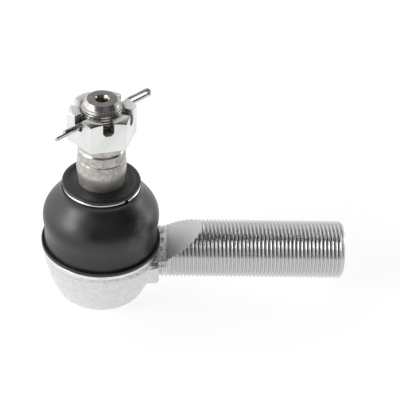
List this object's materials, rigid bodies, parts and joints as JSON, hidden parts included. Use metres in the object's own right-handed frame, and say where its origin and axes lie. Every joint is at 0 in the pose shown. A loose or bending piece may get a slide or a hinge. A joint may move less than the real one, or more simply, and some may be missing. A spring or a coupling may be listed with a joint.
{
  "type": "tie rod end",
  "caption": "Ball-jointed tie rod end: threaded shank, barrel socket, rubber dust boot, and a tapered ball stud with a castle nut and split pin.",
  "frame": {"origin": "centre of the ball, where the stud's axis crosses the shank's axis", "axes": "+Z along the stud from the ball to its threaded end; +X along the shank from the ball to its free end; +Y completes the right-handed frame"},
  "size_m": [0.1561, 0.0612, 0.1162],
  "materials": {
    "housing_steel": "bright zinc plate over forged steel, satin",
    "cover_steel": "zinc plated pressed steel",
    "seal_rubber": "matt moulded rubber",
    "spring_steel": "oiled spring steel",
    "plate_steel": "pressed steel",
    "seat_plastic": "greased acetal plastic",
    "stud_steel": "turned and ground steel, satin",
    "insert_steel": "zinc plated pressed steel",
    "boot_rubber": "moulded black rubber, soft sheen",
    "ring_wire": "bright drawn wire",
    "nut_zinc": "bright white zinc plate",
    "pin_zinc": "zinc plated wire"
  },
  "bodies": {
    "socket": {"housing": "housing_steel", "end_cover": "cover_steel", "cover_seal": "seal_rubber", "preload_spring": "spring_steel", "spring_plate": "plate_steel", "lower_seat": "seat_plastic", "upper_seat": "seat_plastic"},
    "boot": {"dust_boot": "boot_rubber", "boot_insert": "insert_steel"},
    "boot_neck": {"boot_wire_ring": "ring_wire"},
    "stud": {"ball_stud": "stud_steel", "castle_nut": "nut_zinc", "split_pin": "pin_zinc"}
  },
  "joints": [
    {"name": "swing_direction", "type": "hinge", "parent": "socket", "child": "boot", "pos_m": [0, 0, 0], "axis": [0, 0, 1], "continuous": true},
    {"name": "stud_swing", "type": "hinge", "parent": "boot", "child": "boot_neck", "pos_m": [0, 0, 0], "axis": [0, 1, 0], "range_deg": [-22, 22], "deforming": ["dust_boot"]},
    {"name": "stud_spin", "type": "hinge", "parent": "boot_neck", "child": "stud", "pos_m": [0, 0, 0], "axis": [0, 0, 1], "continuous": true}
  ]
}
